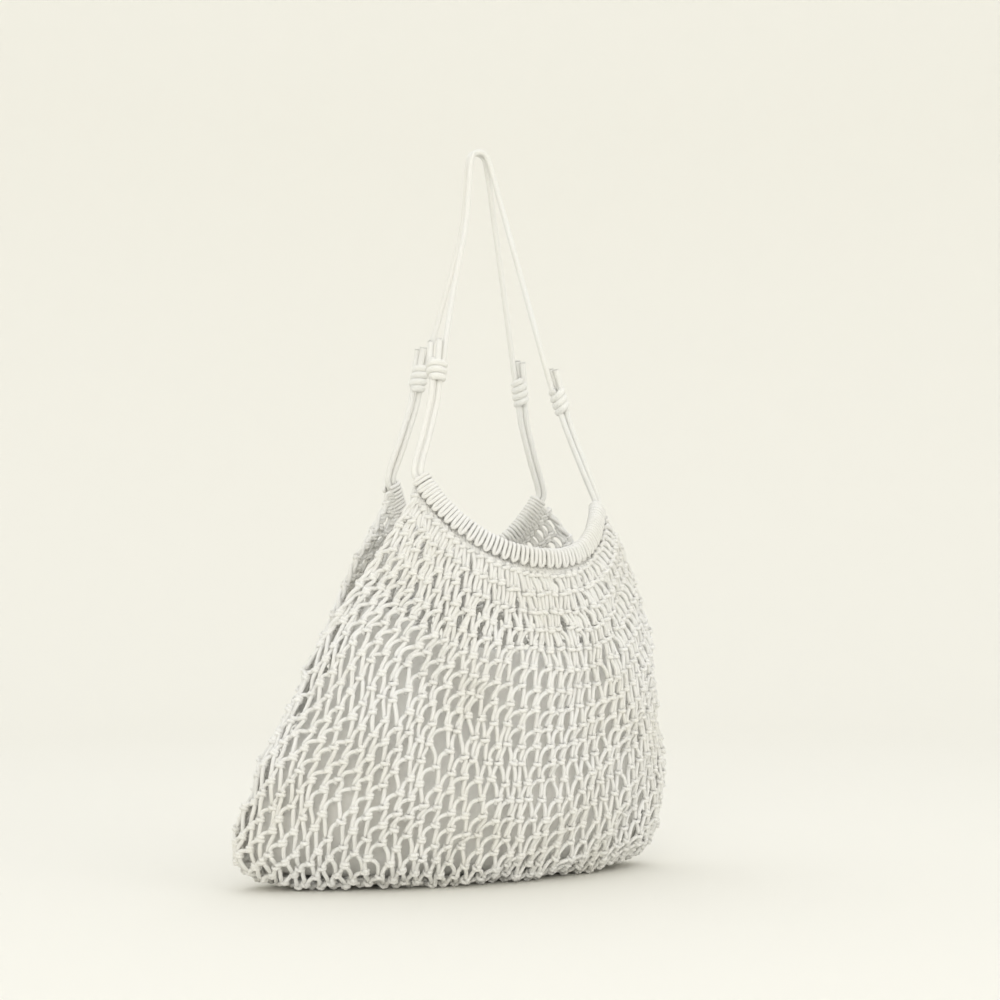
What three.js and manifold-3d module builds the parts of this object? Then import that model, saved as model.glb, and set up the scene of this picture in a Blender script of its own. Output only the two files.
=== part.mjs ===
// String shopping bag of knotted white cord, hanging by its two shoulder straps.
// Millimetres, +Z up. The origin is the underside of the straps where they hang over a peg.
// X runs along the bag's width, left to right for someone facing it, and the front is towards -Y.
import * as THREE from "three";
import Module from "manifold-3d";

// Overall sizes
const HANG_HEIGHT = 652;
const BAG_WIDTH = 408;
const BAG_DEPTH = 170;
const GAP = 0.3;

// Cords
const STRAP_CORD = 5.0;
const CORE_CORD = 5.2;
const CORE_PITCH = 5.7;
const LEG_PITCH = 6.4;
const WRAP_CORD = 3.2;
const PEG_RADIUS = 6.0;
const STRAP_SPREAD = 3.0;

// Net
const NET_COLUMNS = 9;
const NET_ROWS = 6;
const NET_START = 0.075;
const NET_BAR = 8.0;
const NET_WALL = 4.6;
const NET_LUMP = 1.5;
const NET_BASE = 4.0;
const SLIT_END = 2;
const HEM_REACH = 0.985;
const HEM_GAP = 0.1;

// Rim bands
const RIBS = 25;
const RIB_GROOVE = 1.3;
const BAND_REACH = 0.97;
const BAND_SIDES = 8;
const BAND_STEPS = 14;

// Inner pouch
const POUCH_TOP = 0.28;
const POUCH_END = 0.93;
const POUCH_INSET = 13;
const POUCH_WALL = 1.4;
const POUCH_RISE = 5.0;
const POUCH_SIDES = 22;
const POUCH_LEVELS = 6;
const POUCH_LEAN = 8;
const POUCH_WAVE = 7;

// Bag sections from the rim (t 0) to the bottom seam (t 1).
// down: share of the edge height. shiftX, half: shares of the bag width.
// shiftY, front, back: shares of the bag depth. power: roundness. twist: degrees.
const SECTIONS = [
  { t: 0.0, down: 0.0, shiftX: 0.03, shiftY: 0.0, half: 0.257, front: 0.42, back: 0.27, power: 2.0, twist: 10 },
  { t: 0.12, down: 0.14, shiftX: 0.05, shiftY: 0.0, half: 0.324, front: 0.44, back: 0.35, power: 2.0, twist: 9 },
  { t: 0.25, down: 0.28, shiftX: 0.05, shiftY: 0.0, half: 0.377, front: 0.47, back: 0.43, power: 1.95, twist: 8 },
  { t: 0.37, down: 0.42, shiftX: 0.038, shiftY: 0.01, half: 0.416, front: 0.49, back: 0.47, power: 1.9, twist: 6 },
  { t: 0.51, down: 0.58, shiftX: 0.015, shiftY: 0.02, half: 0.455, front: 0.5, back: 0.48, power: 1.85, twist: 4 },
  { t: 0.65, down: 0.74, shiftX: -0.01, shiftY: 0.04, half: 0.49, front: 0.5, back: 0.48, power: 1.75, twist: 2 },
  { t: 0.78, down: 0.89, shiftX: -0.033, shiftY: 0.07, half: 0.5, front: 0.46, back: 0.44, power: 1.65, twist: 0 },
  { t: 0.88, down: 0.975, shiftX: -0.04, shiftY: 0.09, half: 0.482, front: 0.32, back: 0.3, power: 1.6, twist: 0 },
  { t: 1.0, down: 1.0, shiftX: -0.045, shiftY: 0.1, half: 0.45, front: 0.02, back: 0.02, power: 1.6, twist: 0 },
];

// The two panels of the mouth: side -1 is the front, +1 the back.
// left, right: heights of the peaks above the net's base. slitLeft, slitRight: how far round each peak stands, degrees.
const PANELS = {
  front: { side: -1, left: 349, right: 333, slitLeft: 29, slitRight: 31 },
  back: { side: 1, left: 347, right: 343, slitLeft: 40, slitRight: 45 },
};
const MOUTH_DIP = 57;
const MOUTH_DIP_POWER = 2.2;
const MOUTH_DIP_FADE = 0.8;
const CORNER_LIFT = 22;
const SLIT_SHARE = 0.34;

// Strap knots: centre, width, depth, height and the strap's side of the top face.
const STRAP_KNOTS = [
  { name: "front_left", panel: "front", end: -1, x: -56, y: -32, z: -208, width: 19, depth: 17, height: 24 },
  { name: "front_right", panel: "front", end: 1, x: 75, y: -16.5, z: -224.5, width: 15.5, depth: 17, height: 28 },
  { name: "back_left", panel: "back", end: -1, x: -53, y: 14, z: -210, width: 16, depth: 17, height: 26 },
  { name: "back_right", panel: "back", end: 1, x: 60, y: 33, z: -212, width: 15.5, depth: 17, height: 29 },
];
const KNOT_WRAPS = 4;
const KNOT_SIDES = 8;
const KNOT_SLANT = 0.28;
const SOCKET_DEPTH = 6;
const TAIL_CORD = 5.0;
const TAIL_LENGTH = 15;

// Points each strap passes between its knots and the peg, from the left knot to the right one.
const STRAP_BOWS = {
  front: { left: [[-37, -21, -145], [-17, -9.5, -66]], right: [[26, -7, -66]] },
  back: { left: [[-40, 9.5, -171], [-32, 8, -140], [-14, 4.5, -66]], right: [[24, 13, -66]] },
};

const COLOURS = { cord: "#efece3", net: "#ebe8de", band: "#efece4", knot: "#eeebe2", cloth: "#dcd6c6" };

const wasm = await Module();
wasm.setup();

// A smooth value between the table's rows that never overshoots them.
function between(rows, key, t) {
  const last = rows.length - 1;
  const slope = (i) => (rows[i + 1][key] - rows[i][key]) / (rows[i + 1].t - rows[i].t);
  const tangent = (i) => {
    if (i === 0) return slope(0);
    if (i === last) return slope(last - 1);
    const a = slope(i - 1);
    const b = slope(i);
    return a * b <= 0 ? 0 : (2 * a * b) / (a + b);
  };
  let i = 0;
  while (i < last - 1 && t >= rows[i + 1].t) i++;
  const h = rows[i + 1].t - rows[i].t;
  const s = Math.min(1, Math.max(0, (t - rows[i].t) / h));
  return (
    (1 + 2 * s) * (1 - s) ** 2 * rows[i][key] +
    s * (1 - s) ** 2 * h * tangent(i) +
    s * s * (3 - 2 * s) * rows[i + 1][key] +
    s * s * (s - 1) * h * tangent(i + 1)
  );
}

// A point of the bag's skin: p runs from -1 at the left edge of a panel to 1 at its right edge.
function skin(panel, p, t) {
  const q = Math.min(1, Math.max(-1, p));
  const c = (key) => between(SECTIONS, key, t);
  const open = Math.max(0, 1 - t / SLIT_SHARE) ** 0.8;
  const from = THREE.MathUtils.degToRad(panel.slitLeft * open);
  const to = Math.PI - THREE.MathUtils.degToRad(panel.slitRight * open);
  const turn = from + ((to - from) * (q + 1)) / 2;
  const bend = 2 / c("power");
  const half = c("half") * BAG_WIDTH;
  const deep = (panel.side < 0 ? c("front") : c("back")) * BAG_DEPTH;
  const x = -half * Math.sign(Math.cos(turn)) * Math.abs(Math.cos(turn)) ** bend;
  const y = panel.side * deep * Math.max(0, Math.sin(turn)) ** bend;
  const twist = THREE.MathUtils.degToRad(c("twist"));
  const edge = panel.left + ((panel.right - panel.left) * (q + 1)) / 2;
  const dip = MOUTH_DIP * Math.max(0, 1 - t) ** MOUTH_DIP_FADE * (1 - Math.abs(q) ** MOUTH_DIP_POWER);
  const lift = CORNER_LIFT * t ** 6 * q ** 4;
  return new THREE.Vector3(
    x * Math.cos(twist) - y * Math.sin(twist) + c("shiftX") * BAG_WIDTH,
    x * Math.sin(twist) + y * Math.cos(twist) + c("shiftY") * BAG_DEPTH,
    edge * (1 - c("down")) - dip + lift + NET_BASE - HANG_HEIGHT,
  );
}

// Directions of the skin at a point: along the panel, down it, and out of the bag.
function frameAt(panel, p, t) {
  const e = 0.004;
  const p0 = Math.max(-1, p - e);
  const p1 = Math.min(1, p + e);
  const t0 = Math.max(0, t - e);
  const t1 = Math.min(1, t + e);
  const along = skin(panel, p1, t).sub(skin(panel, p0, t)).normalize();
  const down = skin(panel, p, t1).sub(skin(panel, p, t0)).normalize();
  const out = along.clone().cross(down).multiplyScalar(panel.side < 0 ? -1 : 1);
  if (out.lengthSq() < 1e-6) out.set(0, 0, -1);
  out.normalize();
  return { along, down, out };
}

function geometry(points, faces) {
  const g = new THREE.BufferGeometry();
  const flat = new Float32Array(points.length * 3);
  points.forEach((v, i) => flat.set([v.x, v.y, v.z], i * 3));
  g.setAttribute("position", new THREE.BufferAttribute(flat, 3));
  g.setIndex(faces.flat());
  return g;
}

// Faces between two closed loops of vertex numbers of the same length.
function ringFaces(a, b, faces) {
  for (let i = 0; i < a.length; i++) {
    const j = (i + 1) % a.length;
    faces.push([a[i], a[j], b[j]], [a[i], b[j], b[i]]);
  }
}

function fanFaces(loop, faces) {
  for (let i = 1; i < loop.length - 1; i++) faces.push([loop[0], loop[i], loop[i + 1]]);
}

// A smooth route through points, with steps samples between each two. Its pace follows the
// distances between the points, so that short and long stretches meet without a loop.
function route(points, steps) {
  const last = points.length - 1;
  const list = [
    points[0].clone().multiplyScalar(2).sub(points[1]),
    ...points,
    points[last].clone().multiplyScalar(2).sub(points[last - 1]),
  ];
  const out = [];
  for (let i = 1; i <= last; i++) {
    const [a, b, c, d] = [list[i - 1], list[i], list[i + 1], list[i + 2]];
    const ab = Math.sqrt(a.distanceTo(b));
    const bc = Math.sqrt(b.distanceTo(c));
    const cd = Math.sqrt(c.distanceTo(d));
    const mix = (m, n, from, to, at) => m.clone().lerp(n, (at - from) / (to - from));
    for (let k = 0; k < steps; k++) {
      const at = ab + (bc * k) / steps;
      const m = mix(a, b, 0, ab, at);
      const n = mix(b, c, ab, ab + bc, at);
      const o = mix(c, d, ab + bc, ab + bc + cd, at);
      out.push(mix(mix(m, n, 0, ab + bc, at), mix(n, o, ab, ab + bc + cd, at), ab, ab + bc, at));
    }
  }
  out.push(points[last].clone());
  return out;
}

// Frames carried along a route without twisting.
function carriedFrames(path, first) {
  const frames = [];
  let side = first.clone();
  for (let i = 0; i < path.length; i++) {
    const a = path[Math.max(0, i - 1)];
    const b = path[Math.min(path.length - 1, i + 1)];
    const ahead = b.clone().sub(a).normalize();
    side = side.clone().addScaledVector(ahead, -side.dot(ahead)).normalize();
    frames.push({ ahead, side, up: ahead.clone().cross(side) });
  }
  return frames;
}

// A closed cord of round section.
function cord(path, width, sides, first) {
  const frames = carriedFrames(path, first);
  const points = [];
  const faces = [];
  const loops = path.map((centre, i) =>
    Array.from({ length: sides }, (_, k) => {
      const a = (2 * Math.PI * (k + 0.5)) / sides;
      points.push(
        centre
          .clone()
          .addScaledVector(frames[i].side, (Math.cos(a) * width) / 2)
          .addScaledVector(frames[i].up, (Math.sin(a) * width) / 2),
      );
      return points.length - 1;
    }),
  );
  for (let i = 0; i < loops.length - 1; i++) ringFaces(loops[i], loops[i + 1], faces);
  fanFaces([...loops[0]].reverse(), faces);
  fanFaces(loops[loops.length - 1], faces);
  return geometry(points, faces);
}

// Turns every face round where a closed geometry came out inside out.
function facingOut(g) {
  const position = g.attributes.position;
  const index = g.index.array;
  let volume = 0;
  const v = [new THREE.Vector3(), new THREE.Vector3(), new THREE.Vector3()];
  for (let i = 0; i < index.length; i += 3) {
    v.forEach((p, k) => p.fromBufferAttribute(position, index[i + k]));
    volume += v[0].dot(v[1].clone().cross(v[2])) / 6;
  }
  if (volume < 0) {
    for (let i = 0; i < index.length; i += 3) [index[i + 1], index[i + 2]] = [index[i + 2], index[i + 1]];
  }
  return g;
}

function solid(g) {
  facingOut(g);
  const mesh = new wasm.Mesh({
    numProp: 3,
    vertProperties: new Float32Array(g.attributes.position.array),
    triVerts: new Uint32Array(g.index.array),
  });
  return new wasm.Manifold(mesh);
}

function unpack(manifold) {
  const mesh = manifold.getMesh();
  const g = new THREE.BufferGeometry();
  const flat = new Float32Array(mesh.numVert * 3);
  for (let i = 0; i < mesh.numVert; i++) {
    flat.set(mesh.vertProperties.subarray(i * mesh.numProp, i * mesh.numProp + 3), i * 3);
  }
  g.setAttribute("position", new THREE.BufferAttribute(flat, 3));
  g.setIndex(new THREE.BufferAttribute(mesh.triVerts, 1));
  return g;
}

// The rim line and the place of the band that hangs from it
function bandFrame(panel, p) {
  const { along, down } = frameAt(panel, p, 0);
  const across = down.clone().addScaledVector(along, -down.dot(along)).normalize();
  return { point: skin(panel, p, 0), along, across, out: across.clone().cross(along).multiplyScalar(panel.side) };
}

const CORE_CLEAR = CORE_CORD / 2 + 1.5 * GAP;
const BAND_HALF = CORE_PITCH / 2 + CORE_CLEAR + WRAP_CORD;

// The net's top edge, close under the band.
function hemPoint(panel, p) {
  const f = bandFrame(panel, p * HEM_REACH);
  return f.point.addScaledVector(f.across, 2 * BAND_HALF + HEM_GAP + NET_BAR / 2);
}

// The net
// Knots sit at rows and half-stepped columns of the skin, and each bar joins two of them.
function netSolid() {
  const knots = new Map();
  const bars = [];
  const share = (row) => NET_START + ((1 - NET_START) * row) / NET_ROWS;

  function knot(panelName, row, column) {
    const p = -1 + (2 * column) / NET_COLUMNS;
    const edge = column === 0 || column === NET_COLUMNS;
    const shared = row === NET_ROWS || (edge && row >= SLIT_END);
    const id = `${shared ? "both" : panelName}:${row}:${column}`;
    if (!knots.has(id)) {
      const front = skin(PANELS.front, p, share(row));
      const back = skin(PANELS.back, p, share(row));
      let point = shared ? front.clone().lerp(back, 0.5) : skin(PANELS[panelName], p, share(row));
      if (row === 0) point = hemPoint(PANELS[panelName], p);
      let out;
      if (row === NET_ROWS) out = new THREE.Vector3(edge ? Math.sign(p) : 0, 0, -1).normalize();
      else if (shared) out = new THREE.Vector3(Math.sign(p), 0, 0);
      else out = frameAt(PANELS[panelName], p, share(row)).out;
      if (!shared && edge) out.addScaledVector(new THREE.Vector3(Math.sign(p), 0, 0), 0.6).normalize();
      knots.set(id, { id, point, out, bars: [], corners: [] });
    }
    return knots.get(id);
  }

  function bar(a, b, middle, out) {
    const made = { a, b, middle, out, ends: {} };
    bars.push(made);
    a.bars.push(made);
    b.bars.push(made);
  }

  function diagonal(panelName, row, column, toColumn) {
    const p = -1 + (column + toColumn) / NET_COLUMNS;
    const t = (share(row) + share(row + 1)) / 2;
    bar(
      knot(panelName, row, column),
      knot(panelName, row + 1, toColumn),
      skin(PANELS[panelName], p, t),
      frameAt(PANELS[panelName], p, t).out,
    );
  }

  for (const name of Object.keys(PANELS)) {
    for (let row = 0; row < NET_ROWS; row++) {
      for (let c = 0; c < NET_COLUMNS; c++) {
        if (row % 2 === 0) {
          diagonal(name, row, c, c + 0.5);
          diagonal(name, row, c + 1, c + 0.5);
        } else {
          diagonal(name, row, c + 0.5, c);
          diagonal(name, row, c + 0.5, c + 1);
        }
      }
    }
    // The hem along the band
    for (let c = 0; c < NET_COLUMNS; c++) {
      const p = -1 + (2 * c + 1) / NET_COLUMNS;
      bar(
        knot(name, 0, c),
        knot(name, 0, c + 1),
        hemPoint(PANELS[name], p),
        frameAt(PANELS[name], p, share(0)).out,
      );
    }
    // The edge cords of the side slits
    for (const c of [0, NET_COLUMNS]) {
      const p = c === 0 ? -1 : 1;
      const t = share(SLIT_END / 2);
      bar(knot(name, 0, c), knot(name, SLIT_END, c), skin(PANELS[name], p, t), frameAt(PANELS[name], p, t).out);
    }
  }

  const points = [];
  const faces = [];
  const put = (v) => points.push(v) - 1;
  const pair = (v, out) => ({
    outer: put(v.clone().addScaledVector(out, NET_WALL / 2)),
    inner: put(v.clone().addScaledVector(out, -NET_WALL / 2)),
  });

  for (const k of knots.values()) {
    const e1 = new THREE.Vector3(0, 0, 1).addScaledVector(k.out, -k.out.z);
    if (e1.lengthSq() < 0.05) e1.set(1, 0, 0).addScaledVector(k.out, -k.out.x);
    e1.normalize();
    const e2 = k.out.clone().cross(e1);
    const around = k.bars.map((b) => {
      const d = b.middle.clone().sub(k.point);
      return { b, angle: Math.atan2(d.dot(e2), d.dot(e1)) };
    });
    around.sort((m, n) => m.angle - n.angle);
    k.loop = [];
    around.forEach((m, i) => {
      const n = around[(i + 1) % around.length];
      let span = n.angle - m.angle;
      if (span <= 0) span += 2 * Math.PI;
      const corner = (angle, reach) =>
        pair(
          k.point
            .clone()
            .addScaledVector(e1, Math.cos(angle) * reach)
            .addScaledVector(e2, Math.sin(angle) * reach),
          k.out,
        );
      const half = NET_BAR / 2;
      if (span > 2.5) {
        const one = corner(m.angle + 0.9, half * 1.25);
        const two = corner(m.angle + span - 0.9, half * 1.25);
        m.b.ends[k.id] = { ...(m.b.ends[k.id] ?? {}), ccw: one };
        n.b.ends[k.id] = { ...(n.b.ends[k.id] ?? {}), cw: two };
        k.loop.push({ corner: one, wall: true }, { corner: two, wall: false });
      } else {
        const one = corner(m.angle + span / 2, Math.min(half * 2.2, half / Math.sin(Math.max(0.35, span / 2))));
        m.b.ends[k.id] = { ...(m.b.ends[k.id] ?? {}), ccw: one };
        n.b.ends[k.id] = { ...(n.b.ends[k.id] ?? {}), cw: one };
        k.loop.push({ corner: one, wall: false });
      }
    });
    const top = put(k.point.clone().addScaledVector(k.out, NET_WALL / 2 + NET_LUMP));
    const under = put(k.point.clone().addScaledVector(k.out, -NET_WALL / 2));
    k.loop.forEach((m, i) => {
      const n = k.loop[(i + 1) % k.loop.length];
      faces.push([top, m.corner.outer, n.corner.outer]);
      faces.push([under, n.corner.inner, m.corner.inner]);
      if (m.wall) {
        faces.push([m.corner.outer, m.corner.inner, n.corner.inner]);
        faces.push([m.corner.outer, n.corner.inner, n.corner.outer]);
      }
    });
  }

  // Seen from outside with the bar running away from the knot, its ccw corner is on the left.
  for (const b of bars) {
    const a = b.ends[b.a.id];
    const z = b.ends[b.b.id];
    const run = b.b.point.clone().sub(b.a.point).normalize();
    const left = b.out.clone().cross(run).normalize();
    const waist = NET_BAR * 0.42;
    const ml = pair(b.middle.clone().addScaledVector(left, waist), b.out);
    const mr = pair(b.middle.clone().addScaledVector(left, -waist), b.out);
    const quad = (q, r, s, t) => faces.push([q, r, s], [q, s, t]);
    const strips = [
      [a.ccw, a.cw, ml, mr],
      [ml, mr, z.cw, z.ccw],
    ];
    for (const [l0, r0, l1, r1] of strips) {
      quad(l0.outer, r0.outer, r1.outer, l1.outer);
      quad(l0.inner, l1.inner, r1.inner, r0.inner);
      quad(l0.outer, l1.outer, l1.inner, l0.inner);
      quad(r0.outer, r0.inner, r1.inner, r1.outer);
    }
  }
  return facingOut(geometry(points, faces));
}

// The bands and the cords inside them
const bandPath = (steps) => Array.from({ length: steps + 1 }, (_, i) => BAND_REACH * (-1 + (2 * i) / steps));

// A ring shaped like a running track, in the plane of a band frame.
function track(f, long, round, count, centre) {
  return Array.from({ length: count }, (_, i) => {
    const a = (2 * Math.PI * (i + 0.5)) / count;
    const c = Math.cos(a);
    const s = Math.sin(a);
    return centre
      .clone()
      .addScaledVector(f.across, Math.sign(c) * long + c * round)
      .addScaledVector(f.out, s * round);
  });
}

function bandSolid(panel) {
  const points = [];
  const faces = [];
  const count = BAND_SIDES;
  const place = (ring) => ring.map((v) => points.push(v) - 1);
  const centreAt = (f) => f.point.clone().addScaledVector(f.across, BAND_HALF);
  const outer = [];
  const steps = RIBS * 2;
  for (const [i, p] of bandPath(steps).entries()) {
    const f = bandFrame(panel, p);
    const round = CORE_CLEAR + WRAP_CORD - (i % 2 === 0 ? RIB_GROOVE : 0);
    outer.push(place(track(f, CORE_PITCH / 2, round, count, centreAt(f))));
  }
  const bore = bandPath(BAND_STEPS).map((p) => {
    const f = bandFrame(panel, p);
    const reach = CORE_CLEAR / Math.cos(Math.PI / count);
    return place(track(f, CORE_PITCH / 2, reach, count, centreAt(f)));
  });
  for (let i = 0; i < outer.length - 1; i++) ringFaces(outer[i], outer[i + 1], faces);
  for (let i = 0; i < bore.length - 1; i++) ringFaces(bore[i + 1], bore[i], faces);
  ringFaces(bore[0], outer[0], faces);
  ringFaces(outer[outer.length - 1], bore[bore.length - 1], faces);
  return facingOut(geometry(points, faces));
}

// A strap knot's place: its axis runs from the bag's peak to the strap.
const knotOf = (panelName, end) => STRAP_KNOTS.find((k) => k.panel === panelName && k.end === end);

function knotFrame(k) {
  const centre = new THREE.Vector3(k.x, k.y, k.z);
  const peak = skin(PANELS[k.panel], k.end, 0);
  const axis = centre.clone().sub(peak).normalize();
  const towards = new THREE.Vector3(-k.end, 0, 0).addScaledVector(axis, k.end * axis.x).normalize();
  return { centre, axis, towards, third: axis.clone().cross(towards) };
}

// Where a core cord enters the underside of its knot: order 0 is the mouth's side, 1 the outer side.
function legEnd(k, order, inside) {
  const f = knotFrame(k);
  return f.centre
    .clone()
    .addScaledVector(f.axis, -k.height / 2 + inside)
    .addScaledVector(f.towards, (order === 0 ? 0.5 : -0.5) * LEG_PITCH);
}

// How far from the knot's axis its strap leaves, towards the middle of the bag.
const strapSide = (k) => k.width / 2 - STRAP_CORD / 2 - 1.6;

function strapEnd(k, inside) {
  const f = knotFrame(k);
  return f.centre
    .clone()
    .addScaledVector(f.axis, k.height / 2 + inside)
    .addScaledVector(f.towards, strapSide(k));
}

function corePath(panelName, order) {
  const panel = PANELS[panelName];
  const offset = BAND_HALF + (order === 0 ? -0.5 : 0.5) * CORE_PITCH;
  const middle = bandPath(BAND_STEPS).map((p) => {
    const f = bandFrame(panel, p);
    return f.point.clone().addScaledVector(f.across, offset);
  });
  // Each leg: a middle line from the knot to the band, with the two cords side by side on it.
  const leg = (end) => {
    const k = knotOf(panelName, end);
    const f = knotFrame(k);
    const rim = bandFrame(panel, end * BAND_REACH);
    const foot = rim.point.clone().addScaledVector(rim.across, BAND_HALF);
    const lead = foot.clone().addScaledVector(rim.along, end * 7);
    const exit = f.centre.clone().addScaledVector(f.axis, -k.height / 2);
    const start = exit.clone().addScaledVector(f.axis, SOCKET_DEPTH - GAP);
    const up = exit.clone().addScaledVector(f.axis, -14);
    const line = route([start, exit, up, up.clone().lerp(lead, 0.5), lead, foot], 2);
    return line.slice(0, -1).map((v, i) => {
      const share = Math.min(1, Math.max(0, (i - 2) / (line.length - 4)));
      const ahead = line[i + 1].clone().sub(line[Math.max(0, i - 1)]).normalize();
      const spread = f.towards.clone().lerp(rim.across.clone().negate(), share);
      spread.addScaledVector(ahead, -spread.dot(ahead)).normalize();
      const pitch = LEG_PITCH + (CORE_PITCH - LEG_PITCH) * share;
      return v.clone().addScaledVector(spread, (order === 0 ? 0.5 : -0.5) * pitch);
    });
  };
  return [...leg(-1), ...middle, ...leg(1).reverse()];
}

function strapPath(panelName) {
  const left = knotOf(panelName, -1);
  const right = knotOf(panelName, 1);
  const y = PANELS[panelName].side * STRAP_SPREAD;
  const bend = PEG_RADIUS + STRAP_CORD / 2;
  const arch = [165, 135, 105, 75, 45, 15].map((d) => {
    const a = THREE.MathUtils.degToRad(d);
    return new THREE.Vector3(Math.cos(a) * bend, y, Math.sin(a) * bend - PEG_RADIUS);
  });
  const list = (rows) => rows.map((r) => new THREE.Vector3(...r));
  const bows = STRAP_BOWS[panelName];
  const leftEnd = [strapEnd(left, -SOCKET_DEPTH + GAP), strapEnd(left, 1)];
  const rightEnd = [strapEnd(right, 1), strapEnd(right, -SOCKET_DEPTH + GAP)];
  return route([...leftEnd, ...list(bows.left), ...arch, ...list(bows.right), ...rightEnd], 2);
}

// A barrel of slanted wraps with cut tails, and sockets for the two legs and the strap.
function knotSolid(k) {
  const f = knotFrame(k);
  const sides = KNOT_SIDES;
  const points = [];
  const faces = [];
  const loops = [];
  const levels = Array.from({ length: 2 * KNOT_WRAPS + 1 }, (_, i) => (k.height * i) / (2 * KNOT_WRAPS));
  levels.forEach((h, i) => {
    const end = i === 0 || i === levels.length - 1;
    const groove = i % 2 === 0;
    const tuck = end ? 2.4 : groove ? 1.4 : 0;
    loops.push(
      Array.from({ length: sides }, (_, s) => {
        const a = (2 * Math.PI * s) / sides;
        const u = Math.cos(a) * (k.width / 2 - tuck);
        const v = Math.sin(a) * (k.depth / 2 - tuck);
        const slant = end ? 0 : u * KNOT_SLANT;
        points.push(
          f.centre
            .clone()
            .addScaledVector(f.axis, h - k.height / 2 + slant)
            .addScaledVector(f.towards, u)
            .addScaledVector(f.third, v),
        );
        return points.length - 1;
      }),
    );
  });
  for (let i = 0; i < loops.length - 1; i++) ringFaces(loops[i], loops[i + 1], faces);
  fanFaces([...loops[0]].reverse(), faces);
  fanFaces(loops[loops.length - 1], faces);
  let body = solid(geometry(points, faces));

  const tail = (u, v, lean, length) => {
    const base = f.centre
      .clone()
      .addScaledVector(f.axis, k.height / 2 - 4)
      .addScaledVector(f.towards, u)
      .addScaledVector(f.third, v);
    const tip = base.clone().addScaledVector(f.axis, length + 4).addScaledVector(f.towards, lean);
    return solid(cord([base, tip], TAIL_CORD, 6, f.third));
  };
  body = body.add(tail(-k.width / 2 + 3.4, 2.2, -0.8, TAIL_LENGTH - 2));
  body = body.add(tail(strapSide(k) - TAIL_CORD - 0.8, -2.6, -0.6, TAIL_LENGTH));

  const socket = (from, to, width) => {
    const line = to.clone().sub(from).normalize();
    const mouth = from.clone().addScaledVector(line, -6);
    return solid(cord([mouth, to], width / Math.cos(Math.PI / 8), 8, f.third));
  };
  for (const order of [0, 1]) {
    body = body.subtract(socket(legEnd(k, order, 0), legEnd(k, order, SOCKET_DEPTH), CORE_CORD + 2 * GAP));
  }
  body = body.subtract(socket(strapEnd(k, 0), strapEnd(k, -SOCKET_DEPTH), STRAP_CORD + 2 * GAP));
  return unpack(body);
}

// The cloth pouch: a thin open bag that follows the net from inside.
function pouchSolid() {
  const points = [];
  const faces = [];
  const half = POUCH_SIDES / 2;
  const shell = (inset, end) => {
    const loops = [];
    for (let l = 0; l <= POUCH_LEVELS; l++) {
      const t = POUCH_TOP + ((end - POUCH_TOP) * l) / POUCH_LEVELS;
      const loop = [];
      for (let i = 0; i < POUCH_SIDES; i++) {
        const front = i < half;
        const p = front ? -1 + (2 * i) / half : 1 - (2 * (i - half)) / half;
        const panel = front ? PANELS.front : PANELS.back;
        const q = Math.max(-0.999, Math.min(0.999, p));
        const v = skin(panel, q, t);
        const centre = skin(PANELS.front, 0, t).lerp(skin(PANELS.back, 0, t), 0.5);
        const side = skin(PANELS.front, Math.sign(q) * 0.999, t);
        const width = Math.abs(side.x - centre.x);
        const ease = 1 - inset / width;
        const away = new THREE.Vector3(v.x - centre.x, v.y - centre.y, 0);
        const depth = Math.abs(skin(panel, 0, t).y - centre.y);
        const lean = POUCH_LEAN * (1 - l / POUCH_LEVELS) ** 2;
        v.x = centre.x + away.x * (ease - lean / width);
        v.y = centre.y + away.y * Math.max(0.1, 1 - (inset + lean) / depth);
        v.z += ((POUCH_RISE + inset - POUCH_INSET) * l) / POUCH_LEVELS;
        if (l === 0) v.z += POUCH_WAVE * Math.sin((2 * Math.PI * 3 * i) / POUCH_SIDES);
        loop.push(points.push(v) - 1);
      }
      loops.push(loop);
    }
    return loops;
  };
  const cap = (loop, flip) => {
    for (let i = 0; i < half; i++) {
      const a = loop[i];
      const b = loop[i + 1];
      const c = loop[(POUCH_SIDES - i) % POUCH_SIDES];
      const d = loop[POUCH_SIDES - i - 1];
      const tris = i === 0 ? [[a, b, d]] : i === half - 1 ? [[a, b, c]] : [[a, b, d], [a, d, c]];
      for (const t of tris) faces.push(flip ? [t[0], t[2], t[1]] : t);
    }
  };
  const outer = shell(POUCH_INSET, POUCH_END);
  const inner = shell(POUCH_INSET + POUCH_WALL, POUCH_END);
  for (let l = 0; l < POUCH_LEVELS; l++) {
    ringFaces(outer[l], outer[l + 1], faces);
    ringFaces(inner[l + 1], inner[l], faces);
  }
  ringFaces(inner[0], outer[0], faces);
  cap(outer[POUCH_LEVELS], false);
  cap(inner[POUCH_LEVELS], true);
  return facingOut(geometry(points, faces));
}

const bag = new THREE.Group();
bag.name = "string_shopping_bag";

function add(name, g, colour, roughness) {
  const material = new THREE.MeshStandardMaterial({ color: colour, roughness, metalness: 0 });
  const mesh = new THREE.Mesh(g, material);
  mesh.name = name;
  bag.add(mesh);
}

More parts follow.
